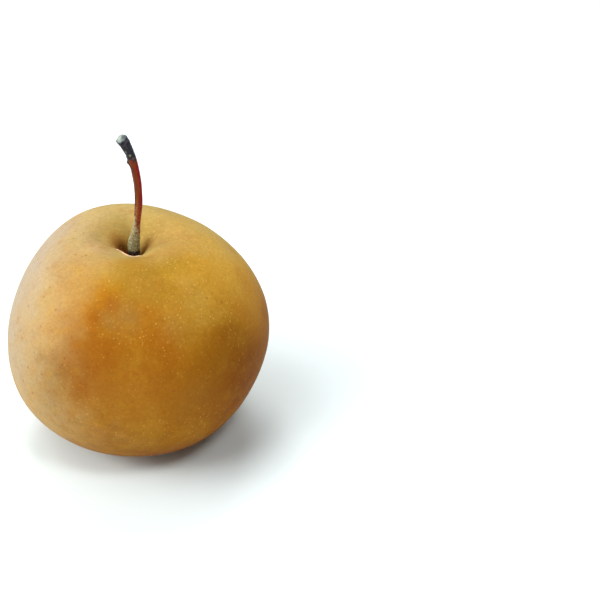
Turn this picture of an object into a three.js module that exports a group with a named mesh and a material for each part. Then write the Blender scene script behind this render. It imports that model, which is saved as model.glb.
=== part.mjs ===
// A russet nashi pear as picked: the fruit with its stem cavity, calyx basin and the small flat
// ring it rests on, and the woody stem that stands in a socket at the bottom of the cavity.
//
// Millimetres, +Z up. The origin lies on the resting plane, under the middle of the fruit's outline,
// and -Y is the side that faces the viewer. Two pieces, which move as one.
//
// The fruit is a lathe body whose wall is pushed in and out by a few low growth harmonics, because
// no pear grows quite round. The stem is a lathe body bent along its own curved centre line.

import * as THREE from "three";
import { mergeVertices } from "three/addons/utils/BufferGeometryUtils.js";

// ---------------------------------------------------------------- driving dimensions (mm)

const RADIUS = 41.0; // mean radius at the widest belt
const CROWN = 37.56; // body centre to the undented crown
const BASE = 36.98; // body centre to the undented base
const CROWN_POWER = 2.16; // fullness of the shoulder, 2 is an ellipse
const BASE_POWER = 2.17; // fullness of the lower half

// growth harmonics of the wall, as shares of the radius
const GROWTH = {
  xz: 0.0009, yz: -0.0042, xy: -0.0074, xx: -0.0072,
  x3z: -0.0058, y3z: 0.0033, zxx: -0.0204, xyz: -0.0199, x3: 0.0147, y3: -0.0025,
  x4z: -0.0071, y4z: 0.0053, xx4: -0.0037, xy4: -0.0081, zx3: 0.0342, zy3: -0.0111, c4: -0.0063, s4: 0.0082,
};

// the flesh sits a hair off the axis of its core, and swells a little here and there
const LEAN = new THREE.Vector3(-0.24, 0.09, 0.17);
const CHEEKS = [
  { towards: new THREE.Vector3(0.998, -0.01, -0.064), swell: 0.62, spread: 0.07 },
  { towards: new THREE.Vector3(0.905, -0.232, -0.358), swell: -0.52, spread: 0.06 },
  { towards: new THREE.Vector3(0.568, 0.458, 0.684), swell: 0.3, spread: 0.03 },
];

// stem cavity: a broad dish, the hole inside it that the stem stands in, and folds that run out of the hole
const CAVITY_X = 0.9;
const CAVITY_Y = 0.0;
const DISH_DEPTH = 8.3;
const DISH_SPREAD = 10.5;
const HOLE_DEPTH = 5.0;
const HOLE_FADE = 6.0; // how far past its lip the hole still draws the dish down
const HOLE = [
  // bearing in degrees, radius of the lip, rounding of the lip, run of the wall
  [0, 2.7, 0.7, 1.2], [20, 2.9, 0.9, 1.2], [40, 3.3, 1.3, 1.3], [58, 3.4, 1.4, 1.4], [90, 3.3, 1.6, 1.5],
  [120, 3.8, 1.5, 1.3], [145, 4.5, 1.2, 1.1], [162, 5.0, 0.9, 1.1], [177, 5.6, 0.5, 1.2], [186, 4.5, 0.3, 1.0],
  [202, 3.0, 0.2, 0.8], [229, 2.5, 0.16, 0.7], [263, 2.65, 0.16, 0.7], [290, 2.65, 0.16, 0.7], [309, 2.55, 0.2, 0.8],
  [340, 2.5, 0.4, 1.0], [360, 2.7, 0.7, 1.2],
];
const FOLDS = [
  // bearing in degrees, depth, half widths to the left and right looking out, where it starts and ends
  { bearing: 178, depth: 0.8, left: 0.9, right: 3.0, from: 4, to: 14 },
  { bearing: 45, depth: 0.75, left: 1.1, right: 1.3, from: 2, to: 10 },
];

// socket that holds the stem
const SOCKET_RADIUS = 2.15;
const SOCKET_FLOOR = 23.9; // above the body centre
const FIT_GAP = 0.3; // clear space under the stem's foot

// calyx basin under the fruit, and the resting plane
const BASIN_DEPTH = 6.0;
const BASIN_SPREAD = 6.0;
const REST = 35.6; // body centre to the plane that the fruit rests on

// outline centre, measured from the body centre
const MIDDLE_X = 0.78;
const MIDDLE_Y = 0.04;

// stem: centre line from foot to tip, from the body centre, with the radius there
const STEM = [
  [0.9, 0.0, SOCKET_FLOOR + FIT_GAP, 1.7],
  [0.9, 0.0, 26.5, 1.76],
  [0.8, 0.0, 28.6, 1.82],
  [0.76, 0.0, 30.3, 1.83],
  [0.88, 0.0, 31.9, 1.77],
  [1.15, 0.0, 33.4, 1.67],
  [1.4, 0.0, 34.85, 1.53],
  [1.66, 0.0, 36.2, 1.39],
  [1.92, 0.0, 37.65, 1.25],
  [2.5, 0.0, 40.8, 1.08],
  [2.97, 0.0, 43.6, 1.1],
  [3.43, 0.0, 47.7, 1.15],
  [3.53, 0.0, 50.1, 1.16],
  [3.5, -0.02, 52.45, 1.18],
  [3.33, -0.1, 55.5, 1.21],
  [2.98, -0.3, 58.6, 1.25],
  [2.5, -0.6, 61.45, 1.36],
  [2.06, -0.9, 63.55, 1.34],
  [1.42, -1.25, 65.75, 1.42],
  [0.75, -1.7, 67.65, 1.6],
  [0.12, -2.35, 69.05, 1.7],
];
const TIP_ROUNDING = 0.6; // how far the tip's scar is domed

// facets
const AROUND = 60;
const STEM_AROUND = 14;
const STEM_STEPS = 34;

// ---------------------------------------------------------------- fruit

const radians = (degrees) => (degrees * Math.PI) / 180;
const smooth = (a, b, v) => {
  const t = Math.min(1, Math.max(0, (v - a) / (b - a)));
  return t * t * (3 - 2 * t);
};

// Share by which the wall stands out from the plain lathe body in direction (x, y, z).
function growth(x, y, z) {
  const g = GROWTH, xx = x * x, yy = y * y, zz = z * z;
  return (
    g.xz * x * z + g.yz * y * z + g.xy * x * y + g.xx * (xx - yy) +
    g.x3z * x * (5 * zz - 1) + g.y3z * y * (5 * zz - 1) + g.zxx * z * (xx - yy) + g.xyz * x * y * z +
    g.x3 * x * (xx - 3 * yy) + g.y3 * y * (3 * xx - yy) +
    g.x4z * x * z * (7 * zz - 3) + g.y4z * y * z * (7 * zz - 3) +
    g.xx4 * (xx - yy) * (7 * zz - 1) + g.xy4 * x * y * (7 * zz - 1) +
    g.zx3 * x * z * (xx - 3 * yy) + g.zy3 * y * z * (3 * xx - yy) +
    g.c4 * (xx * xx - 6 * xx * yy + yy * yy) + g.s4 * x * y * (xx - yy)
  );
}

// Distance from the body centre to the plain lathe body at a latitude in radians.
function bodyReach(latitude) {
  const top = latitude > 0;
  const power = top ? CROWN_POWER : BASE_POWER;
  const tall = top ? CROWN : BASE;
  return (
    (Math.cos(latitude) / RADIUS) ** power + (Math.abs(Math.sin(latitude)) / tall) ** power
  ) ** (-1 / power);
}

// The hole's lip radius, rounding and wall at a bearing in degrees, eased from one row to the next.
function holeAt(bearing) {
  let i = 0;
  while (i < HOLE.length - 2 && HOLE[i + 1][0] <= bearing) i++;
  const f = smooth(HOLE[i][0], HOLE[i + 1][0], bearing);
  return [1, 2, 3].map((k) => HOLE[i][k] * (1 - f) + HOLE[i + 1][k] * f);
}

// How far the stem cavity dips under the crown at an offset from its own axis.
function cavityDip(dx, dy) {
  const r = Math.hypot(dx, dy);
  let dip = DISH_DEPTH * Math.exp(-((r / DISH_SPREAD) ** 2));
  const [lip, rounding, wall] = holeAt(((Math.atan2(dy, dx) * 180) / Math.PI + 360) % 360);
  const inside = lip - r;
  const past = 0.5 * (inside + Math.hypot(inside, rounding));
  dip += HOLE_DEPTH * (1 - Math.exp(-past / wall)) * Math.exp(-((Math.max(r - lip, 0) / HOLE_FADE) ** 2));
  for (const f of FOLDS) {
    const c = Math.cos(radians(f.bearing)), s = Math.sin(radians(f.bearing));
    const along = dx * c + dy * s, across = -dx * s + dy * c;
    const width = across > 0 ? f.left : f.right;
    dip += f.depth * Math.exp(-((across / width) ** 2)) * smooth(f.from, f.from + 2.5, along) * (1 - smooth((f.from + f.to) / 2, f.to, along));
  }
  return dip;
}

// A point of the fruit's skin, from the body centre, at a latitude and longitude in radians.
function skin(latitude, longitude) {
  const x = Math.cos(latitude) * Math.cos(longitude);
  const y = Math.cos(latitude) * Math.sin(longitude);
  const z = Math.sin(latitude);
  const p = new THREE.Vector3(x, y, z);
  let reach = bodyReach(latitude) * (1 + growth(x, y, z));
  for (const c of CHEEKS) reach += c.swell * Math.exp(-(1 - c.towards.dot(p)) / c.spread);
  p.multiplyScalar(reach).addScaledVector(LEAN, (1 - smooth(0.92, 0.985, z)) * smooth(-0.99, -0.9, z));
  if (z > 0) {
    const lean = smooth(0.85, 0.98, z); // the cavity's axis stands a little off the body's
    p.x += CAVITY_X * lean;
    p.y += CAVITY_Y * lean;
    p.z -= cavityDip(p.x - CAVITY_X, p.y - CAVITY_Y);
  } else {
    p.z += BASIN_DEPTH * Math.exp(-((p.x * p.x + p.y * p.y) / BASIN_SPREAD ** 2));
    p.z = Math.max(p.z, -REST); // the small flat ring that it stands on
  }
  return p;
}

// Latitudes of the lathe's rings, from the basin's middle up to the socket's rim. Near both ends
// they are set by the ring's radius, where the wall turns most.
const byRadius = (r, tall) => Math.acos(Math.min(1, r / tall));
const latitudes = [
  ...[0, 1.4, 2.8, 4.2, 5.6, 7.0, 8.2, 9.2, 10.2, 11.4, 12.6, 14, 16, 18.5].map((r) => -byRadius(r, BASE)),
  ...[-55, -49.5, -44, -38, -32, -25, -18, -11, -4, 3, 10, 17, 24, 31, 37, 43, 49, 54, 58.5].map(radians),
  ...[17, 14.8, 12.8, 11, 9.4, 8, 6.9, 6, 5.2, 4.5, 3.8, 3.2, 2.65, SOCKET_RADIUS].map((r) => byRadius(r, CROWN)),
];

// The lathe body: x is the ring's number until the vertices are moved to their places below.
const profile = latitudes.map((latitude) => {
  const reach = bodyReach(latitude);
  return new THREE.Vector2(reach * Math.cos(latitude), reach * Math.sin(latitude));
});
profile[0].x = 0;
profile.push(new THREE.Vector2(SOCKET_RADIUS, SOCKET_FLOOR), new THREE.Vector2(0, SOCKET_FLOOR));

function fruitGeometry() {
  const lathe = new THREE.LatheGeometry(profile, AROUND);
  const at = lathe.getAttribute("position");
  const rings = profile.length;
  for (let i = 0; i < at.count; i++) {
    const ring = i % rings;
    const longitude = ((Math.floor(i / rings) % AROUND) / AROUND) * 2 * Math.PI;
    let p;
    if (ring < latitudes.length) p = skin(latitudes[ring], longitude);
    else {
      const r = profile[ring].x;
      p = new THREE.Vector3(CAVITY_X + r * Math.cos(longitude), CAVITY_Y + r * Math.sin(longitude), SOCKET_FLOOR);
    }
    if (ring === 0) p.x = p.y = 0;
    at.setXYZ(i, p.x, p.y, p.z);
  }
  return facingOut(lathe);
}

// ---------------------------------------------------------------- stem

function stemGeometry() {
  const line = new THREE.CatmullRomCurve3(STEM.map(([x, y, z]) => new THREE.Vector3(x, y, z)), false, "centripetal");
  const radiusAt = (t) => {
    const k = Math.min(STEM.length - 1 - 1e-9, t * (STEM.length - 1));
    const i = Math.floor(k), f = k - i;
    const g = f * f * (3 - 2 * f);
    return STEM[i][3] * (1 - g) + STEM[i + 1][3] * g;
  };
  // x is the radius and y the place along the centre line, 0 at the foot and 1 at the tip
  const outline = [new THREE.Vector2(0, 0)];
  for (let k = 0; k <= STEM_STEPS; k++) outline.push(new THREE.Vector2(radiusAt(k / STEM_STEPS), k / STEM_STEPS));
  outline.push(new THREE.Vector2(radiusAt(1) * 0.62, 1 + TIP_ROUNDING * 0.7), new THREE.Vector2(0, 1 + TIP_ROUNDING));
  const lathe = new THREE.LatheGeometry(outline, STEM_AROUND);
  const at = lathe.getAttribute("position");
  const side = new THREE.Vector3(), across = new THREE.Vector3();
  for (let i = 0; i < at.count; i++) {
    const t = at.getY(i), along = Math.min(1, t);
    const middle = line.getPoint(along), tangent = line.getTangent(along);
    side.set(0, 1, 0).addScaledVector(tangent, -tangent.y).normalize();
    across.crossVectors(tangent, side);
    const longitude = ((Math.floor(i / outline.length) % STEM_AROUND) / STEM_AROUND) * 2 * Math.PI;
    const r = Math.hypot(at.getX(i), at.getZ(i));
    middle
      .addScaledVector(across, r * Math.cos(longitude))
      .addScaledVector(side, r * Math.sin(longitude))
      .addScaledVector(tangent, Math.max(0, t - 1));
    if (t === 0) middle.z = STEM[0][2]; // the foot is cut square
    at.setXYZ(i, middle.x, middle.y, middle.z);
  }
  return facingOut(lathe);
}

// Merges the lathe's seam and pole vertices, drops the slivers at the poles and turns every face outwards.
function facingOut(lathe) {
  lathe.deleteAttribute("normal");
  lathe.deleteAttribute("uv");
  const merged = mergeVertices(lathe, 1e-4);
  const at = merged.getAttribute("position"), old = merged.index.array, kept = [];
  let volume = 0;
  const a = new THREE.Vector3(), b = new THREE.Vector3(), c = new THREE.Vector3();
  for (let i = 0; i < old.length; i += 3) {
    if (old[i] === old[i + 1] || old[i + 1] === old[i + 2] || old[i] === old[i + 2]) continue;
    kept.push(old[i], old[i + 1], old[i + 2]);
    a.fromBufferAttribute(at, old[i]);
    b.fromBufferAttribute(at, old[i + 1]);
    c.fromBufferAttribute(at, old[i + 2]);
    volume += a.dot(b.cross(c)) / 6;
  }
  if (volume < 0) for (let i = 0; i < kept.length; i += 3) [kept[i + 1], kept[i + 2]] = [kept[i + 2], kept[i + 1]];
  merged.setIndex(kept);
  merged.computeVertexNormals();
  return merged;
}

// ---------------------------------------------------------------- assembly

const fruit = new THREE.Mesh(
  fruitGeometry(),
  new THREE.MeshStandardMaterial({ color: 0xc08a32, roughness: 0.55, metalness: 0 }),
);
fruit.name = "fruit";

const stem = new THREE.Mesh(
  stemGeometry(),
  new THREE.MeshStandardMaterial({ color: 0x6b3a22, roughness: 0.75, metalness: 0 }),
);
stem.name = "stem";

// from the body centre to the resting plane under the outline's middle
const pear = new THREE.Group();
pear.add(fruit, stem);
pear.position.set(-MIDDLE_X, -MIDDLE_Y, REST);

const part = new THREE.Group();
part.add(pear);

export default part;
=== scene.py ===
import math

import bpy
import numpy as np
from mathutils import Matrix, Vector


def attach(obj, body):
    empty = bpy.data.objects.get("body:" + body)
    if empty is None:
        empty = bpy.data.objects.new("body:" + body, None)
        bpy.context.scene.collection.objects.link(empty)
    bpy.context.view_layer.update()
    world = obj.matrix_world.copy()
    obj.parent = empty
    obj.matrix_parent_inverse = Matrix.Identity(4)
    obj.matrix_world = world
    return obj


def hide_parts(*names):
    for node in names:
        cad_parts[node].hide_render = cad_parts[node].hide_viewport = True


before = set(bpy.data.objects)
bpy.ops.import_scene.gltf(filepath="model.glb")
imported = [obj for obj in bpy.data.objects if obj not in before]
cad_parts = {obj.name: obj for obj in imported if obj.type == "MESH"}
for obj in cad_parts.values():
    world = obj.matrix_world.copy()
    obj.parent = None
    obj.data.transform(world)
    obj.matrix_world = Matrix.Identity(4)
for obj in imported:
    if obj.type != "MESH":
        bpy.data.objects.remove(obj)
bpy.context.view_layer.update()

# A russet nashi pear: the fruit and its woody stem, each a modelled mesh in place of its plain solid.
# Shapes below are worked out in millimetres from the middle of the fruit, then moved to the part's
# frame in metres. +Z is up, -Y faces the camera.

MM = 0.001
MIDDLE = np.array([-0.78, -0.04, 35.6])  # the fruit's middle in the part's frame

# ------------------------------------------------------------------------------------- small tools


def smooth(a, b, v):
    t = np.clip((v - a) / (b - a), 0.0, 1.0)
    return t * t * (3 - 2 * t)


def waves(p, size, seed, count=28):
    """A smooth seeded field with spread 1 over points p, in lumps about `size` mm apart."""
    rng = np.random.default_rng(seed)
    k = rng.normal(size=(count, 3))
    k *= (2 * math.pi / size) * rng.uniform(0.55, 1.45, (count, 1)) / np.linalg.norm(k, axis=1, keepdims=True)
    return np.sin(p @ k.T + rng.uniform(0, 2 * math.pi, count)).sum(1) * math.sqrt(2 / count)


def srgb(r, g, b):
    """A colour given as 0-255 display values, as linear light."""
    return tuple(c / 12.92 if c <= 0.04045 else ((c + 0.055) / 1.055) ** 2.4 for c in (r / 255, g / 255, b / 255))


def lathe_faces(rings, around):
    """Quads of a closed lathe grid of rings x around points, followed by its two pole points."""
    i, j = np.meshgrid(np.arange(rings - 1), np.arange(around), indexing="ij")
    k = (j + 1) % around
    quads = np.stack([i * around + j, i * around + k, (i + 1) * around + k, (i + 1) * around + j], -1).reshape(-1, 4)
    j = np.arange(around)
    k = (j + 1) % around
    low, high = rings * around, rings * around + 1
    bottom = np.stack([k, j, np.full(around, low)], -1)
    top = np.stack([(rings - 1) * around + j, (rings - 1) * around + k, np.full(around, high)], -1)
    return quads, bottom, top


def lathe_mesh(name, points, rings, around, along):
    """A smooth mesh from a lathe grid with poles, with an unrolled map; along is each ring's place, 0 to 1."""
    quads, bottom, top = lathe_faces(rings, around)
    mesh = bpy.data.meshes.new(name)
    faces = quads.tolist() + bottom.tolist() + top.tolist()
    mesh.from_pydata((points * MM).tolist(), [], faces)
    mesh.polygons.foreach_set("use_smooth", [True] * len(mesh.polygons))
    u = np.arange(around) / around
    step = 1 / around
    low, high = along[0], along[-1]
    i, j = np.meshgrid(np.arange(rings - 1), np.arange(around), indexing="ij")
    i, j = i.ravel(), j.ravel()
    uv_quads = np.stack(
        [u[j], along[i], u[j] + step, along[i], u[j] + step, along[i + 1], u[j], along[i + 1]], -1
    ).reshape(-1, 2)
    n = np.arange(around)
    uv_bottom = np.stack([u[n] + step, np.full(around, low), u[n], np.full(around, low), u[n] + step / 2, np.zeros(around)], -1).reshape(-1, 2)
    uv_top = np.stack([u[n], np.full(around, high), u[n] + step, np.full(around, high), u[n] + step / 2, np.ones(around)], -1).reshape(-1, 2)
    layer = mesh.uv_layers.new(name="OFBake")
    layer.data.foreach_set("uv", np.concatenate([uv_quads, uv_bottom, uv_top]).astype(np.float32).ravel())
    mesh.update()
    return mesh


def keep(mesh, name, values):
    mesh.attributes.new(name, "FLOAT", "POINT").data.foreach_set("value", np.asarray(values, np.float32))


def arc_places(points, rings, around):
    """Each ring's place along the skin, 0 to 1, with room left for the poles."""
    grid = points[: rings * around].reshape(rings, around, 3)
    steps = np.linalg.norm(np.diff(grid, axis=0), axis=2).mean(1)
    run = np.concatenate([[0.5], 0.5 + np.cumsum(steps)])
    return run / (run[-1] + 0.5)


# ------------------------------------------------------------------------------------- fruit's shape

RADIUS, CROWN, BASE, CROWN_POWER, BASE_POWER, REST = 41.0, 37.56, 36.98, 2.16, 2.17, 35.6
CAVITY = np.array([0.9, 0.0])
SOCKET_RADIUS, SOCKET_FLOOR = 2.15, 23.9


def growth(x, y, z):
    xx, yy, zz = x * x, y * y, z * z
    return (
        0.0009 * x * z - 0.0042 * y * z - 0.0074 * x * y - 0.0072 * (xx - yy)
        - 0.0058 * x * (5 * zz - 1) + 0.0033 * y * (5 * zz - 1) - 0.0204 * z * (xx - yy) - 0.0199 * x * y * z
        + 0.0147 * x * (xx - 3 * yy) - 0.0025 * y * (3 * xx - yy)
        - 0.0071 * x * z * (7 * zz - 3) + 0.0053 * y * z * (7 * zz - 3)
        - 0.0037 * (xx - yy) * (7 * zz - 1) - 0.0081 * x * y * (7 * zz - 1)
        + 0.0342 * x * z * (xx - 3 * yy) - 0.0111 * y * z * (3 * xx - yy)
        - 0.0063 * (xx * xx - 6 * xx * yy + yy * yy) + 0.0082 * x * y * (xx - yy)
    )


# the flesh sits a hair off the axis of its core, and swells a little here and there: direction, swell, spread
LEAN = np.array([-0.24, 0.09, 0.17])
CHEEKS = (((0.998, -0.01, -0.064), 0.62, 0.07), ((0.905, -0.232, -0.358), -0.52, 0.06), ((0.568, 0.458, 0.684), 0.3, 0.03))


def body_reach(lat):
    top = lat > 0
    power = np.where(top, CROWN_POWER, BASE_POWER)
    tall = np.where(top, CROWN, BASE)
    return ((np.abs(np.cos(lat)) / RADIUS) ** power + (np.abs(np.sin(lat)) / tall) ** power) ** (-1 / power)


# the hole that the stem stands in: bearing, radius of its lip, rounding of the lip, steepness of its wall
HOLE = np.array([
    (0, 2.7, 0.7, 1.2), (20, 2.9, 0.9, 1.2), (40, 3.3, 1.3, 1.3), (58, 3.4, 1.4, 1.4), (90, 3.3, 1.6, 1.5), (120, 3.8, 1.5, 1.3), (145, 4.5, 1.2, 1.1), (162, 5.0, 0.9, 1.1),
    (177, 5.6, 0.5, 1.2), (186, 4.5, 0.3, 1.0), (202, 3.0, 0.2, 0.8), (229, 2.5, 0.16, 0.7), (263, 2.65, 0.16, 0.7),
    (290, 2.65, 0.16, 0.7), (309, 2.55, 0.2, 0.8), (340, 2.5, 0.4, 1.0), (360, 2.7, 0.7, 1.2),
])
# folds that run out of it: bearing, depth, half widths on the left and right looking out, from, to
FOLDS = ((178, 0.8, 0.9, 3.0, 4.0, 14.0), (45, 0.75, 1.1, 1.3, 2.0, 10.0), (98, 0.2, 1.6, 1.6, 3, 12), (303, 0.15, 1.5, 1.5, 3, 11), (345, 0.15, 1.4, 1.4, 3, 10), (238, 0.12, 1.6, 1.6, 4, 11))
DISH_DEPTH, DISH_SPREAD, HOLE_DEPTH = 8.3, 10.5, 5.0


def round_table(table, bearing):
    """Rows of a table keyed by bearing, eased from one to the next."""
    i = np.clip(np.searchsorted(table[:, 0], bearing, side="right") - 1, 0, len(table) - 2)
    f = smooth(0.0, 1.0, (bearing - table[i, 0]) / (table[i + 1, 0] - table[i, 0]))
    return [table[i, k] * (1 - f) + table[i + 1, k] * f for k in range(1, table.shape[1])]


def cavity_dip(dx, dy):
    r = np.hypot(dx, dy)
    dip = DISH_DEPTH * np.exp(-((r / DISH_SPREAD) ** 2))
    lip, soft, wall = round_table(HOLE, np.degrees(np.arctan2(dy, dx)) % 360)
    inside = lip - r
    past = 0.5 * (inside + np.sqrt(inside**2 + soft**2))
    dip = dip + HOLE_DEPTH * (1 - np.exp(-past / wall)) * np.exp(-((np.maximum(r - lip, 0) / 6.0) ** 2))
    # a dried rim stands up a little along the near lip
    turn = np.degrees(np.arctan2(dy, dx)) % 360
    dip = dip - 0.3 * np.exp(-(((r - lip - 0.3) / 0.42) ** 2)) * smooth(166, 182, turn) * smooth(322, 304, turn)
    for bearing, depth, left, right, start, end in FOLDS:
        c, s = math.cos(math.radians(bearing)), math.sin(math.radians(bearing))
        along, across = dx * c + dy * s, -dx * s + dy * c
        width = np.where(across > 0, left, right)
        dip = dip + depth * np.exp(-((across / width) ** 2)) * smooth(start, start + 2.5, along) * smooth(end, (start + end) / 2, along)
    return dip


def calyx_rise(x, y):
    """The scar at the flower end: a corky ring with five worn lobes, a pit inside it and creases outside it."""
    r, turn = np.hypot(x, y), np.arctan2(y, x)
    flat = np.stack([x, y, np.zeros_like(x)], -1)
    place = 3.0 + 0.25 * np.cos(5 * turn + 0.6) + 0.18 * np.cos(2 * turn + 1.9)
    ring = (0.55 + 0.15 * np.cos(5 * turn + 0.6)) * np.exp(-(((r - place) / np.where(r < place, 0.55, 0.85)) ** 2))
    pit = 1.3 * np.exp(-((r / 1.55) ** 2))
    crease = 0.1 * np.cos(13 * turn + 0.8 * np.cos(3 * turn)) * smooth(3.6, 5.2, r) * smooth(9.0, 5.6, r)
    crumb = 0.05 * waves(flat, 0.9, 14) * smooth(4.6, 3.2, r)
    return pit - ring + crease + crumb


def skin(lat, lon):
    x, y, z = np.cos(lat) * np.cos(lon), np.cos(lat) * np.sin(lon), np.sin(lat)
    p = np.stack([x, y, z], -1) * (body_reach(lat) * (1 + growth(x, y, z)))[:, None]
    # slight unevenness of a grown skin
    uneven = 0.09 * waves(p, 30, 11) + 0.01 * waves(p, 9, 12)
    for (cx, cy, cz), swell, spread in CHEEKS:
        uneven = uneven + swell * np.exp(-(1 - cx * x - cy * y - cz * z) / spread)
    calm = smooth(0.985, 0.9, np.abs(z))
    p = p + np.stack([x, y, z], -1) * (uneven * calm)[:, None]
    p = p + LEAN * (smooth(0.985, 0.92, z) * smooth(-0.99, -0.9, z))[:, None]
    top = z > 0
    lean = np.where(top, smooth(0.85, 0.98, z), 0.0)
    p[:, 0] += CAVITY[0] * lean
    p[:, 1] += CAVITY[1] * lean
    p[:, 2] -= np.where(top, cavity_dip(p[:, 0] - CAVITY[0], p[:, 1] - CAVITY[1]), 0.0)
    r2 = p[:, 0] ** 2 + p[:, 1] ** 2
    low = p[:, 2] + 6.0 * np.exp(-r2 / 36.0) + calyx_rise(p[:, 0], p[:, 1])
    p[:, 2] = np.where(top, p[:, 2], np.maximum(low, -REST))
    return p


def fruit_rings():
    low = np.linspace(0.35, 19.0, 62)
    high = np.concatenate([np.linspace(20.0, 9.0, 38), np.linspace(8.8, SOCKET_RADIUS, 40)])
    belt = np.linspace(-np.arccos(19.35 / BASE), np.arccos(20.4 / CROWN), 124)
    return np.concatenate([-np.arccos(low / BASE), belt, np.arccos(high / CROWN)])


AROUND = 352
lats = fruit_rings()
lons = np.arange(AROUND) / AROUND * 2 * math.pi
la, lo = np.meshgrid(lats, lons, indexing="ij")
wall = skin(la.ravel(), lo.ravel())
# the socket under the cavity, out of sight
ring = np.stack([CAVITY[0] + SOCKET_RADIUS * np.cos(lons), CAVITY[1] + SOCKET_RADIUS * np.sin(lons)], -1)
last = wall[-AROUND:]
socket = []
for k in (0.25, 0.5, 0.75, 1.0):
    z = last[:, 2] * (1 - k) + SOCKET_FLOOR * k
    socket.append(np.column_stack([last[:, 0] * (1 - k) + ring[:, 0] * k, last[:, 1] * (1 - k) + ring[:, 1] * k, z]))
body = np.concatenate([wall, *socket])
FRUIT_RINGS = len(lats) + 4
poles = np.array([[0, 0, skin(np.array([-math.pi / 2]), np.array([0.0]))[0, 2]], [CAVITY[0], CAVITY[1], SOCKET_FLOOR]])
body = np.concatenate([body, poles])

fruit_mesh = lathe_mesh("nashi_fruit", body + MIDDLE, FRUIT_RINGS, AROUND, arc_places(body, FRUIT_RINGS, AROUND))
fruit = bpy.data.objects.new("nashi_fruit", fruit_mesh)
bpy.context.scene.collection.objects.link(fruit)

# ------------------------------------------------------------------------------------- stem's shape

# centre line from foot to tip, with the radius there
STEM = np.array([
    [0.9, 0.0, 24.2, 1.7], [0.9, 0.0, 26.5, 1.76], [0.8, 0.0, 28.6, 1.82], [0.76, 0.0, 30.3, 1.83], [0.88, 0.0, 31.9, 1.77],
    [1.15, 0.0, 33.4, 1.67], [1.4, 0.0, 34.85, 1.53], [1.66, 0.0, 36.2, 1.39], [1.92, 0.0, 37.65, 1.25], [2.5, 0.0, 40.8, 1.08], [2.97, 0.0, 43.6, 1.1],
    [3.43, 0.0, 47.7, 1.15], [3.53, 0.0, 50.1, 1.16], [3.5, -0.02, 52.45, 1.18], [3.33, -0.1, 55.5, 1.21],
    [2.98, -0.3, 58.6, 1.25], [2.5, -0.6, 61.45, 1.36], [2.06, -0.9, 63.55, 1.34], [1.42, -1.25, 65.75, 1.42],
    [0.75, -1.7, 67.65, 1.6], [0.12, -2.35, 69.05, 1.7],
])


def spline(points, count):
    """A smooth curve through points, sampled evenly: the samples, their unit tangents and the run from the start."""
    d = np.concatenate([[0], np.cumsum(np.linalg.norm(np.diff(points[:, :3], axis=0), axis=1))])
    m = np.gradient(points, d, axis=0)
    t = np.linspace(0, d[-1], count)
    i = np.clip(np.searchsorted(d, t, side="right") - 1, 0, len(d) - 2)
    h = (d[i + 1] - d[i])[:, None]
    u = ((t - d[i]) / (d[i + 1] - d[i]))[:, None]
    h00, h10, h01, h11 = 2 * u**3 - 3 * u**2 + 1, u**3 - 2 * u**2 + u, -2 * u**3 + 3 * u**2, u**3 - u**2
    p = h00 * points[i] + h10 * h * m[i] + h01 * points[i + 1] + h11 * h * m[i + 1]
    tangent = np.gradient(p[:, :3], t, axis=0)
    return p, tangent / np.linalg.norm(tangent, axis=1, keepdims=True), t


STEM_AROUND, STEM_ALONG, STEM_END = 72, 420, 22
line, tangent, run = spline(STEM, STEM_ALONG)
side = np.array([0.0, 1.0, 0.0]) - tangent * tangent[:, 1:2]
side /= np.linalg.norm(side, axis=1, keepdims=True)
across = np.cross(side, tangent)
turn = np.arange(STEM_AROUND) / STEM_AROUND * 2 * math.pi
# one row per ring: the wall, then the scar that closes the tip
end = np.arange(1, STEM_END) / STEM_END
k_ring = np.concatenate([np.arange(STEM_ALONG), np.full(len(end), STEM_ALONG - 1)])
shrink = np.concatenate([np.ones(STEM_ALONG), np.cos(end * math.pi / 2) ** 0.75])
rise = np.concatenate([np.zeros(STEM_ALONG), 0.6 * np.sin(end * math.pi / 2)])
STEM_RINGS = len(k_ring)
height = np.repeat(line[k_ring, 2] + rise, STEM_AROUND)  # of each point, to place the stem's zones
angle = np.tile(turn, STEM_RINGS)
scar = np.repeat(1 - shrink, STEM_AROUND)
out = np.repeat(across[k_ring], STEM_AROUND, 0) * np.cos(angle)[:, None] + np.repeat(side[k_ring], STEM_AROUND, 0) * np.sin(angle)[:, None]
radius = np.repeat(line[k_ring, 3] * shrink, STEM_AROUND)
flow = np.stack([1.4 * np.cos(angle), 1.4 * np.sin(angle), np.repeat(run[k_ring], STEM_AROUND)], -1)  # unbent stem
flow[:, :2] *= (1 - scar)[:, None]
bark = smooth(41.0, 36.0, height)  # the rough lower part
slate = smooth(61.0, 63.5, height)
uneven = 0.035 * waves(flow * [1, 1, 0.35], 2.4, 31) + 0.02 * waves(flow * [1, 1, 0.12], 0.9, 32)
uneven += bark * (0.045 * waves(flow, 0.75, 33) + 0.03 * waves(flow, 1.6, 34)) + slate * (0.04 * waves(flow * [1, 1, 0.8], 1.5, 35))
uneven += 0.03 * np.cos(5 * angle + 0.05 * height) * smooth(34, 40, height)


def knob(at_height, at_angle, tall, along, wide):
    off = (angle - math.radians(at_angle) + math.pi) % (2 * math.pi) - math.pi
    return tall * np.exp(-(((height - at_height) / along) ** 2) - ((off * radius / wide) ** 2)) * (scar < 0.02)


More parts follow.
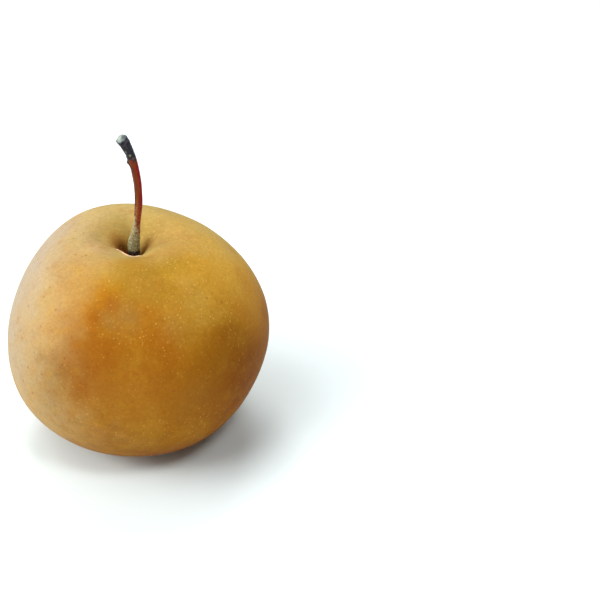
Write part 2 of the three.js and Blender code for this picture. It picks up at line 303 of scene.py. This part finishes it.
uneven += knob(61.0, 188, 0.42, 0.55, 0.55) + knob(60.2, 190, 0.15, 0.8, 0.6)  # an old bud scar
uneven += knob(63.9, 278, 0.14, 0.35, 0.32) + knob(65.3, 240, 0.08, 0.25, 0.25)
uneven += knob(66.9, 340, 0.12, 0.9, 0.7) - knob(66.3, 250, 0.1, 0.8, 0.5)
uneven *= np.where(scar > 0, np.clip(1 - scar * 1.6, 0, 1), 1)
dome = 0.06 * waves(flow + out * radius[:, None] * scar[:, None], 1.1, 36) * smooth(0.02, 0.3, scar)
stem_points = line[np.repeat(k_ring, STEM_AROUND), :3] + out * (radius + uneven)[:, None]
stem_points += np.repeat(tangent[k_ring] * rise[:, None], STEM_AROUND, 0) + np.repeat(tangent[k_ring], STEM_AROUND, 0) * dome[:, None]
stem_points = np.concatenate([stem_points, [line[0, :3]], [line[-1, :3] + 0.6 * tangent[-1]]])
stem_mesh = lathe_mesh("nashi_stem", stem_points + MIDDLE, STEM_RINGS, STEM_AROUND, arc_places(stem_points, STEM_RINGS, STEM_AROUND))
stem = bpy.data.objects.new("nashi_stem", stem_mesh)
bpy.context.scene.collection.objects.link(stem)

# ------------------------------------------------------------------------------------- colours

def lay(colour, over, amount):
    """Glazes a pigment over a colour field."""
    w = np.clip(amount, 0, 1)[:, None]
    return colour * (1 - w) + np.array(over) * w


def patches(p, spots):
    """A soft field over points p from spots: longitude, latitude, size in mm, amount."""
    lon, lat, size, amount = np.array(spots, float).T
    centres = skin(np.radians(lat), np.radians(lon))
    field = np.zeros(len(p))
    for c, r, a in zip(centres, size, amount):
        field += a * np.exp(-(np.linalg.norm(p - c, axis=1) / r) ** 2)
    return field


GOLD, HONEY, OLIVE, CREAM_AND_SHEEN = srgb(166, 111, 19), srgb(190, 143, 50), srgb(180, 156, 94), srgb(170, 145, 104)
RUST, ORANGE, BROWN_AND_SHADE, ASH = srgb(150, 85, 12), srgb(174, 105, 16), srgb(120, 56, 6), srgb(136, 104, 54)
TAN, PLUM, CORK, DUSK = srgb(174, 138, 72), srgb(158, 106, 52), srgb(118, 74, 36), srgb(46, 26, 8)
MOSS, HIGHLIGHT_PINK, SHEEN_GREY, HIGHLIGHT_STRAW = srgb(146, 114, 14), srgb(236, 192, 160), srgb(163, 147, 124), srgb(222, 178, 84)

x, y, z = body.T
drift = np.stack([waves(body, 12, 41), waves(body, 12, 42), waves(body, 12, 43)], -1)
drift += 0.5 * np.stack([waves(body, 5, 44), waves(body, 5, 45), waves(body, 5, 46)], -1)
warped = body + 1.4 * drift
cloud = 0.6 * waves(body, 16, 51) + 0.4 * waves(body, 7, 52)
hidden = smooth(-4, 20, y)  # the side away from the camera
tint = np.tile(np.array(GOLD), (len(body), 1))
tint = lay(tint, HONEY, 0.1 + 0.12 * cloud + 0.2 * hidden)
# sunward right shoulder
tint = lay(tint, HONEY, patches(body + 1.2 * drift, [(-25, 46, 17, 0.8), (-8, 26, 11, 0.35), (-43, 60, 9, 0.25), (-45, 43, 10, 0.5), (-118, 68, 7, 0.35), (15, 45, 16, 0.6), (75, 35, 18, 0.45), (150, 25, 20, 0.4)]))
tint = lay(tint, ORANGE, patches(warped, [(-75, 38, 8, 0.6), (-71, 22, 9, 0.7), (-103, 47, 7, 0.3), (-122, 52, 7, 0.3), (-78, 6, 13, 0.5), (-14, 21, 10, 0.6), (-2, 14, 10, 0.6), (100, 10, 14, 0.5), (40, 5, 14, 0.4)]))
# green and cream where the skin thins: round the crown, and down the left side; the cream down the left side is partly
# painted sheen, paler where the light grazes that side
tint = lay(tint, MOSS, patches(body + 2 * drift, [(-77, 57, 11, 0.38), (-45, 63, 11, 0.38), (-100, 58, 8, 0.2), (60, 45, 12, 0.35), (120, 20, 13, 0.3)]))
tint = lay(tint, OLIVE, 0.95 * smooth(-23, -2, y - 0.6 * x + 2.0 * waves(body, 13, 53)) * smooth(4, 31, z + 4.5 * cloud + 1.5 * waves(body, 4, 60)))
# partly painted sheen: cream rising toward the left edge, where the light grazes the skin
tint = lay(tint, CREAM_AND_SHEEN, np.clip((-x - 5.5 + 1.6 * waves(body, 13, 54)) / 27, 0, 1) * (1 - 0.5 * hidden) * (0.92 + 0.1 * waves(body, 6, 59)))
# rust on the cheek; brown patches, and painted shade in brown on the shaded lower right side and underneath
tint = lay(tint, RUST, patches(warped, [(-101, 42, 5, 0.75), (-77, 20, 6, 0.35), (-102, 31, 7.5, 0.45), (-105, 19, 8, 0.55), (-108, 12, 8, 0.4), (-94, 25, 8, 0.25), (-80, 36, 8, 0.22), (-98, 8, 10, 0.25), (-68, 15, 7, 0.25), (-60, 2, 9, 0.2), (70, -5, 18, 0.45), (170, 5, 16, 0.4)]))
# painted shade: brown darkens the lower right side and the underside
tint = lay(tint, BROWN_AND_SHADE, patches(body + 1.2 * drift, [(-38, -5, 20, 0.7), (-10, -14, 21, 0.36), (-80, -32, 12, 0.2), (35, -22, 22, 0.35), (110, -15, 16, 0.3)]) + 0.6 * smooth(-14, -28, z))
tint = lay(tint, TAN, patches(warped, [(-45, 44, 5, 0.3), (-76, 54, 7, 0.22), (36, 66, 8, 0.3), (-121, -12, 10, 0.25), (-113, 28, 4, 0.35)]))
tint = lay(tint, ASH, patches(warped, [(-90, 41, 4.5, 0.35), (-113, 21, 5, 0.27), (-116, 13, 6.5, 0.5), (-122, 9, 5.5, 0.12), (-121, -4, 6, 0.24), (-124, 2, 7, 0.12), (-174, 64, 6, 0.22), (-141, 57, 7, 0.22), (140, 40, 7, 0.3)]))
tint = lay(tint, GOLD, patches(warped, [(-122, 52, 6.5, 0.35), (-131, 42, 6, 0.12)]))
tint = lay(tint, PLUM, patches(warped, [(-141, 60, 8, 0.3), (-100, -12, 7, 0.45), (-92, -22, 8, 0.3), (-112, -22, 8, 0.25)]))
tint = lay(tint, OLIVE, 0.45 * smooth(-14, -34, z) * hidden)
# painted sheen: a thin pale grey along the left shoulder, where the light grazes the skin
tint = lay(tint, SHEEN_GREY, patches(body + 1.2 * drift, [(-174, 38, 13, 0.6), (165, 47, 12, 0.65), (-164, 21, 13, 0.6), (-158, 2, 12, 0.35), (160, 22, 14, 0.35), (120, 52, 12, 0.2), (-120, -4, 6, 0.14), (-116, 25, 4.5, 0.08)]))
tint = lay(tint, RUST, patches(body + 0.6 * drift, [(-108, 21, 4.5, 0.55), (-112, 31, 4, 0.15)]))
tint = lay(tint, TAN, patches(body + 0.6 * drift, [(-63, 33, 5, 0.25), (-87, 41, 4.5, 0.2), (-84, 11, 14, 0.06), (-58, -1, 7, 0.1)]))
tint = lay(tint, BROWN_AND_SHADE, patches(body + 0.6 * drift, [(-37, 13, 8, 0.22)]))
tint = lay(tint, ORANGE, patches(body + 0.6 * drift, [(-15, 21, 8, 0.5)]))
tint = lay(tint, HONEY, patches(body + 0.6 * drift, [(-14, 21, 7, 0.25), (-30, 46, 8, 0.15)]))
tint = lay(tint, PLUM, patches(body + 0.6 * drift, [(-98, 9, 8, 0.2), (-80, 0, 11, 0.13)]))
tint = lay(tint, RUST, patches(body + 0.6 * drift, [(-60, -9, 8, 0.28), (-79, 2, 8, 0.1)]))
tint = tint * (1 + 0.05 * smooth(8, -12, z) * (0.6 * waves(body, 6, 70) + 0.4 * waves(body, 3, 71)))[:, None]
# painted highlight: paler along the far edge of the right shoulder, where the light catches it
tint = lay(tint, HIGHLIGHT_STRAW, 0.24 * smooth(-8, 5, y + 0.75 * (x - 18) + waves(body, 12, 72)) * smooth(6, 18, x) * smooth(8, 18, z) * smooth(34, 10, y))
# painted shade: darker and browner down in the cavity and in the folds beside the stem, and a painted highlight along
# the near lip of the cavity
dx, dy = x - CAVITY[0], y - CAVITY[1]
in_top = z > 20
lip = round_table(HOLE, np.degrees(np.arctan2(dy, dx)) % 360)[0]
deep = in_top * smooth(0.9, -1.6, np.hypot(dx, dy) - lip)
turn = np.degrees(np.arctan2(dy, dx)) % 360
fold_shade = np.exp(-(((turn - 150) / 33) ** 2)) * smooth(9.6, 4.4, np.hypot(dx, dy)) + 0.85 * np.exp(-(((turn - 47) / 15) ** 2)) * smooth(9.0, 3.6, np.hypot(dx, dy))
far = np.hypot(dx, dy)
tint = lay(tint, MOSS, 0.42 * in_top * smooth(17, 7, far) * np.exp(-(((turn - 130) / 45) ** 2)))
tint = lay(tint, GOLD, 0.28 * in_top * smooth(24, 10, far) * np.exp(-(((turn - 20) / 40) ** 2)))
# painted light: a pale spot on the dish left of the cavity, lifting the shade there
tint = lay(tint, HIGHLIGHT_PINK, 0.15 * patches(body, [(-150, 73, 4.5, 1)]))
tint = lay(tint, MOSS, 0.3 * in_top * smooth(19, 8, far) * np.exp(-(((turn - 70) / 28) ** 2)))
tint = lay(tint, ASH, in_top * patches(body, [(-15, 74, 5.5, 0.36), (-36, 66, 5, 0.16), (-68, 67, 6, 0.18), (-14, 65, 5, 0.08)]))
# painted shade: the spot at bearing 151 darkens where a fold beside the cavity falls in shade
tint = lay(tint, GOLD, in_top * patches(body, [(-6, 61, 6, 0.2), (151, 72, 5, 0.15)]))
# painted shade: dark in the folds either side of the stem
tint = lay(tint, RUST, 0.8 * in_top * fold_shade)
tint = lay(tint, DUSK, 0.92 * in_top * fold_shade**1.5)
# painted shade: browner down in the cavity
tint = lay(tint, BROWN_AND_SHADE, 0.75 * deep)
# painted shade: near black inside the hole round the stem
tint = lay(tint, DUSK, 0.85 * in_top * smooth(-0.3, -1.8, np.hypot(dx, dy) - lip))
# painted highlight: a thin pale line along the near lip, where its edge catches the light
tint = lay(tint, HIGHLIGHT_PINK, in_top * np.exp(-(((np.hypot(dx, dy) - lip - 0.5) / 0.38) ** 2)) * smooth(170, 184, turn) * smooth(318, 304, turn))
# corky scar where the flower dropped
low_r = np.hypot(x, y) + 0.35 * waves(body, 2.2, 56)
rays = np.cos(13 * np.arctan2(y, x) + 0.8 * np.cos(3 * np.arctan2(y, x)))
tint = lay(tint, RUST, (z < -20) * (0.3 + 0.2 * rays) * smooth(10.5, 4.5, low_r))
tint = lay(tint, CORK, (z < -20) * smooth(5.0, 3.4, low_r))
tint = lay(tint, PLUM, (z < -20) * 0.7 * np.exp(-(((low_r - 3.1) / 0.6) ** 2)))
tint = lay(tint, DUSK, (z < -20) * 0.9 * smooth(2.5, 1.2, low_r))
fruit_mesh.attributes.new("tint", "FLOAT_COLOR", "POINT").data.foreach_set(
    "color", np.column_stack([tint, np.ones(len(tint))]).astype(np.float32).ravel())
keep(fruit_mesh, "pale_dots", np.clip(0.17 + 0.08 * smooth(-26, -4, x) + 0.15 * smooth(2, -14, z) + 0.44 * smooth(10, 25, z) * smooth(-4, 12, x) + 0.12 * waves(body, 15, 57), 0, 1) * (1 - deep))
keep(fruit_mesh, "dark_dots", np.clip(0.25 + 0.75 * smooth(-6, -24, x) + 0.2 * waves(body, 15, 58), 0, 1) * (1 - deep))

# stem: rough grey-green bark below, red-brown wood above it, slate at the top and a pale scar
REDWOOD, CRIMSON, UMBER, LICHEN = srgb(128, 56, 12), srgb(148, 14, 24), srgb(62, 30, 30), srgb(168, 166, 124)
SLATE, MIST, DARK_MOTTLE_AND_SHADE, SCAR = srgb(40, 40, 51), srgb(84, 92, 94), srgb(22, 18, 16), srgb(158, 170, 160)
facing_right = np.cos(angle)
wood = np.tile(np.array(REDWOOD), (len(angle), 1))
wood = lay(wood, UMBER, 0.8 * smooth(-0.15, -0.85, facing_right) + 0.25 * waves(flow * [1, 1, 0.2], 1.4, 61))
wood = lay(wood, CRIMSON, 0.9 * smooth(0.1, 0.7, facing_right + 0.15 * waves(flow, 4, 62)))
edge = 39.5 - 2.8 * facing_right + 0.9 * waves(flow, 1.6, 63)
grey = smooth(edge + 1.6, edge - 1.6, height)
wood = lay(wood, LICHEN, 0.92 * grey)
wood = lay(wood, DARK_MOTTLE_AND_SHADE, 0.5 * grey * smooth(-0.2, 1.1, waves(flow * [1, 1, 0.8], 0.6, 64)))
wood = lay(wood, SLATE, smooth(60.7, 63.1, height + 0.5 * waves(flow, 1.5, 65)))
wood = lay(wood, MIST, 0.45 * smooth(63.6, 66.5, height) * smooth(0.3, 1.3, waves(flow, 1.7, 66)))
pale = 0.62 + 0.38 * np.cos(angle - math.radians(150)) + 0.15 * waves(flow + 3 * out * radius[:, None] * scar[:, None], 1.6, 68)
wood = lay(wood, MIST, smooth(0.03, 0.2, scar + 0.03 * waves(flow, 0.8, 67)))
wood = lay(wood, SCAR, smooth(0.08, 0.35, scar + 0.03 * waves(flow, 0.8, 67)) * np.clip(pale, 0, 1))
for at_height, at_angle, amount in ((63.9, 278, 0.9), (65.3, 240, 0.55), (62.6, 300, 0.3)):
    wood = lay(wood, LICHEN, knob(at_height, at_angle, amount, 0.3, 0.27))
wood = lay(wood, SLATE, knob(61.0, 188, 0.8, 0.5, 0.5))
# painted shade: the stem darker down into the cavity, near black where it enters the hole
wood = lay(wood, DARK_MOTTLE_AND_SHADE, 0.32 * smooth(37.5, 31.5, height))
wood = lay(wood, DARK_MOTTLE_AND_SHADE, 0.97 * smooth(31.4, 30.3, height))
wood = np.concatenate([wood, [DARK_MOTTLE_AND_SHADE], [SCAR]])
stem_mesh.attributes.new("tint", "FLOAT_COLOR", "POINT").data.foreach_set(
    "color", np.column_stack([wood, np.ones(len(wood))]).astype(np.float32).ravel())
stem_mesh.attributes.new("flow", "FLOAT_VECTOR", "POINT").data.foreach_set(
    "vector", np.concatenate([flow, flow[:1], flow[-1:]]).astype(np.float32).ravel())
keep(stem_mesh, "rough_bark", np.concatenate([bark * (0.25 + 0.75 * smooth(30.8, 33.2, height)), [0.25, 0]]))

keep(stem_mesh, "speckle", np.concatenate([smooth(50, 41, height + 2 * facing_right) * smooth(33, 38, height), [0, 0]]))

# ------------------------------------------------------------------------------------- materials


class Graph:
    """A few short words for building a material out of nodes."""

    def __init__(self, name):
        self.material = bpy.data.materials.new(name)
        self.material.use_nodes = True
        self.tree = self.material.node_tree
        self.shader = self.tree.nodes["Principled BSDF"]

    def put(self, value, socket):
        if isinstance(value, bpy.types.NodeSocket):
            self.tree.links.new(value, socket)
        elif value is not None:
            socket.default_value = (*value, 1) if hasattr(value, "__len__") and len(value) == 3 and socket.type == "RGBA" else value

    def node(self, kind, **settings):
        n = self.tree.nodes.new("ShaderNode" + kind)
        for key, value in settings.items():
            setattr(n, key, value)
        return n

    def attribute(self, name, output="Fac"):
        return self.node("Attribute", attribute_name=name).outputs[output]

    def place(self):
        return self.node("TexCoord").outputs["Object"]

    def noise(self, vector, scale, detail=2.0, roughness=0.5, distortion=0.0):
        n = self.node("TexNoise")
        self.put(vector, n.inputs["Vector"])
        n.inputs["Scale"].default_value, n.inputs["Detail"].default_value = scale, detail
        n.inputs["Roughness"].default_value, n.inputs["Distortion"].default_value = roughness, distortion
        return n.outputs["Fac"]

    def cells(self, vector, scale):
        n = self.node("TexVoronoi")
        self.put(vector, n.inputs["Vector"])
        n.inputs["Scale"].default_value = scale
        return n.outputs["Distance"], n.outputs["Color"]

    def span(self, value, a, b, c=0.0, d=1.0, ease="SMOOTHSTEP"):
        n = self.node("MapRange", interpolation_type=ease)
        for socket, v in zip(n.inputs, (value, a, b, c, d)):
            self.put(v, socket)
        return n.outputs["Result"]

    def math(self, operation, a, b=None, clamp=False):
        n = self.node("Math", operation=operation, use_clamp=clamp)
        self.put(a, n.inputs[0])
        self.put(b, n.inputs[1])
        return n.outputs[0]

    def mix(self, amount, a, b, blend="MIX"):
        n = self.node("Mix", data_type="RGBA", blend_type=blend)
        self.put(amount, n.inputs["Factor"])
        self.put(a, n.inputs["A"] if n.inputs["A"].type == "RGBA" else n.inputs[6])
        self.put(b, n.inputs["B"] if n.inputs["B"].type == "RGBA" else n.inputs[7])
        return n.outputs[2]

    def offset(self, vector, by):
        n = self.node("VectorMath", operation="ADD")
        self.put(vector, n.inputs[0])
        n.inputs[1].default_value = by
        return n.outputs[0]

    def first(self, colour):
        n = self.node("SeparateColor")
        self.put(colour, n.inputs[0])
        return n.outputs[0]

    def bump(self, height, distance, under=None):
        n = self.node("Bump")
        n.inputs["Strength"].default_value, n.inputs["Distance"].default_value = 1.0, distance
        self.put(height, n.inputs["Height"])
        self.put(under, n.inputs["Normal"])
        return n.outputs["Normal"]


def skin_material():
    g = Graph("nashi_skin")
    at = g.place()
    broad = g.noise(at, 170, 4, 0.6, 0.4)  # clouds about 6 mm across
    fleck = g.noise(at, 900, 4, 0.65)  # russet flecks about 1 mm across
    grain = g.noise(at, 3600, 2, 0.6)  # grain about 0.3 mm across
    colour = g.attribute("tint", "Color")
    colour = g.mix(g.span(broad, 0.5, 0.8, 0, 0.3), colour, srgb(148, 84, 8))
    colour = g.mix(g.span(broad, 0.5, 0.22, 0, 0.25), colour, srgb(186, 138, 40))
    shade = g.math("MULTIPLY", g.span(fleck, 0.2, 0.8, 0.84, 1.16, "LINEAR"), g.span(grain, 0.2, 0.8, 0.88, 1.12, "LINEAR"))
    n = g.node("VectorMath", operation="SCALE")
    g.put(colour, n.inputs[0])
    g.put(shade, n.inputs["Scale"])
    colour = n.outputs[0]
    # dark pits, then pale corky lenticels
    far, kind = g.cells(g.offset(at, (0.31, 0.17, 0.53)), 420)
    pit = g.math("MULTIPLY", g.span(far, 0.26, 0.06), g.math("MULTIPLY", g.span(g.first(kind), 0.05, 0.7), g.attribute("dark_dots")))
    colour = g.mix(g.math("MULTIPLY", pit, 0.55), colour, srgb(122, 70, 26))
    far, kind = g.cells(at, 860)
    dot = g.math("MULTIPLY", g.span(far, 0.36, 0.06), g.math("MULTIPLY", g.span(g.first(kind), 0.0, 0.9, 0.2, 1), g.attribute("pale_dots")))
    colour = g.mix(g.math("MULTIPLY", dot, 0.7), colour, srgb(222, 178, 84))
    g.put(colour, g.shader.inputs["Base Color"])
    rough = g.math("ADD", g.span(fleck, 0.2, 0.8, 0.5, 0.66, "LINEAR"), g.math("MULTIPLY", dot, 0.15))
    g.put(rough, g.shader.inputs["Roughness"])
    normal = g.bump(g.math("ADD", fleck, g.math("MULTIPLY", grain, 0.35)), 0.00007)
    normal = g.bump(g.math("SUBTRACT", dot, g.math("MULTIPLY", pit, 0.6)), 0.00005, normal)
    g.put(normal, g.shader.inputs["Normal"])
    g.shader.inputs["IOR"].default_value = 1.3
    g.shader.inputs["Specular IOR Level"].default_value = 0.1
    g.shader.inputs["Specular Tint"].default_value = (1.0, 0.82, 0.55, 1)
    return g.material


def bark_material():
    g = Graph("nashi_bark")
    flow = g.attribute("flow", "Vector")
    long = g.node("VectorMath", operation="MULTIPLY")
    g.put(flow, long.inputs[0])
    long.inputs[1].default_value = (1, 1, 0.16)
    streak = g.noise(long.outputs[0], 3.2, 4, 0.65, 0.3)
    crumb = g.noise(flow, 3.4, 3, 0.7)
    far, kind = g.cells(flow, 2.3)
    rough_bark = g.attribute("rough_bark")
    colour = g.attribute("tint", "Color")
    colour = g.mix(g.span(streak, 0.5, 0.85, 0, 0.5), colour, srgb(60, 34, 30))
    colour = g.mix(g.span(streak, 0.45, 0.15, 0, 0.35), colour, srgb(178, 104, 58))
    colour = g.mix(g.math("MULTIPLY", g.attribute("speckle"), g.span(crumb, 0.5, 0.38, 0, 0.75)), colour, srgb(190, 146, 88))
    colour = g.mix(g.math("MULTIPLY", rough_bark, g.span(crumb, 0.48, 0.68, 0, 0.8)), colour, srgb(62, 54, 40))
    colour = g.mix(g.math("MULTIPLY", rough_bark, g.math("MULTIPLY", g.span(far, 0.42, 0.15), g.span(g.first(kind), 0.35, 0.8))), colour, srgb(206, 200, 168))
    g.put(colour, g.shader.inputs["Base Color"])
    g.put(g.span(crumb, 0.25, 0.75, 0.5, 0.8, "LINEAR"), g.shader.inputs["Roughness"])
    normal = g.bump(streak, 0.00012)
    normal = g.bump(g.math("MULTIPLY", crumb, g.span(rough_bark, 0, 1, 0.35, 1, "LINEAR")), 0.00016, normal)
    g.put(normal, g.shader.inputs["Normal"])
    g.shader.inputs["Specular IOR Level"].default_value = 0.15
    return g.material


def plain(name, colour, rough):
    g = Graph(name)
    g.shader.inputs["Base Color"].default_value = (*colour, 1)
    g.shader.inputs["Roughness"].default_value = rough
    return g.material


fruit_mesh.materials.append(skin_material())
stem_mesh.materials.append(bark_material())

# ------------------------------------------------------------------------------------- frame

for piece, node, slot in ((fruit, "fruit", "fruit_skin"), (stem, "stem", "stem_bark")):
    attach(piece, "root")
    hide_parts(node)

# ------------------------------------------------------------------------------------- floor, light, camera

floor_mesh = bpy.data.meshes.new("floor")
edge = [(0.6 * math.cos(k * math.pi / 64), 0.6 * math.sin(k * math.pi / 64), 0) for k in range(128)]
floor_mesh.from_pydata(edge, [], [tuple(range(128))])
floor = bpy.data.objects.new("floor", floor_mesh)
bpy.context.scene.collection.objects.link(floor)
floor_mesh.materials.append(plain("floor_white", (0.805, 0.893, 0.898), 0.9))

world = bpy.data.worlds.new("studio")
bpy.context.scene.world = world
world.use_nodes = True
nodes, links = world.node_tree.nodes, world.node_tree.links
dim = nodes["Background"]
dim.inputs["Color"].default_value = (0.95, 0.98, 1.0, 1)
dim.inputs["Strength"].default_value = 0.02
white = nodes.new("ShaderNodeBackground")
white.inputs["Color"].default_value = (1, 1, 1, 1)
ray, both = nodes.new("ShaderNodeLightPath"), nodes.new("ShaderNodeMixShader")
links.new(ray.outputs["Is Camera Ray"], both.inputs[0])
links.new(dim.outputs[0], both.inputs[1])
links.new(white.outputs[0], both.inputs[2])
links.new(both.outputs[0], nodes["World Output"].inputs["Surface"])


def softbox(name, place, aim, size, power, colour=(1, 1, 1)):
    lamp = bpy.data.lights.new(name, "AREA")
    lamp.shape, lamp.size, lamp.energy, lamp.color = "SQUARE", size, power, colour
    o = bpy.data.objects.new(name, lamp)
    bpy.context.scene.collection.objects.link(o)
    o.location = place
    o.rotation_euler = (Vector(aim) - Vector(place)).to_track_quat("-Z", "Y").to_euler()
    return o


# bearing clockwise from behind the pear, height in degrees, size, power
for name, bearing, high, size, power in (
    ("behind", 0, 58, 0.6, 7.77), ("front_right_low", 135, 15, 0.6, 1.4), ("front_right", 145, 55, 0.25, 3.7), ("front_left_low", 225, 44, 0.25, 1.79),
    ("front_left", 225, 58, 0.6, 4.1), ("left", 270, 15, 0.6, 8.58), ("left_high", 250, 30, 0.4, 2.53), ("above", 270, 76, 0.6, 2.72),
):
    b, h = math.radians(bearing), math.radians(high)
    place = (1.1 * math.sin(b) * math.cos(h), 1.1 * math.cos(b) * math.cos(h), 1.1 * math.sin(h) + 0.04)
    softbox(name, place, (0, 0, 0.04), size, power)

camera_data = bpy.data.cameras.new("camera")
camera_data.sensor_width = 36.0
camera_data.lens = 83.606
camera_data.clip_start, camera_data.clip_end = 0.01, 50
camera = bpy.data.objects.new("camera", camera_data)
bpy.context.scene.collection.objects.link(camera)
camera.location = (0.05054, -0.35964, 0.29002)
camera.rotation_euler = (math.radians(56), 0, 0)
bpy.context.scene.camera = camera

bpy.context.scene.view_settings.view_transform = "Standard"
